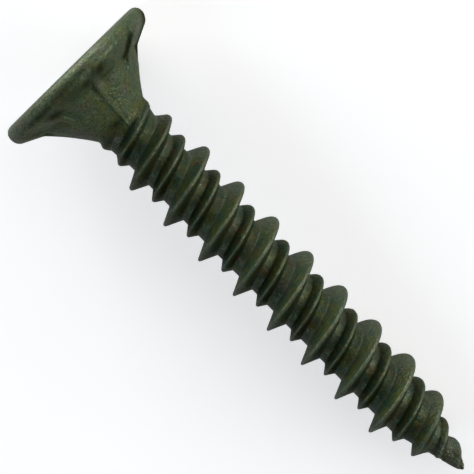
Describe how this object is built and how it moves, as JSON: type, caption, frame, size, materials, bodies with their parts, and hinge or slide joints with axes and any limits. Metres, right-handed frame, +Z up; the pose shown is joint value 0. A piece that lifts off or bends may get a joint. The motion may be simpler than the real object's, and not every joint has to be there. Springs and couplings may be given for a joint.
{
  "type": "sharp point screw",
  "caption": "Flat countersunk board screw with cutting nibs under the head, a high and low thread right up to the head and a sharp gimlet point, lying on its side.",
  "frame": {"origin": "on the floor under the middle of the lying screw's bounding box", "axes": "the head is towards -X, the point towards +X and down, +Z is up; the screw's axis lies in the XZ plane, 6.09 degrees below +X"},
  "size_m": [0.032, 0.0102, 0.0101],
  "materials": {
    "coated_steel": "dark grey-green mottled corrosion coating, semi-matte"
  },
  "bodies": {
    "root": {"screw": "coated_steel"}
  },
  "joints": []
}
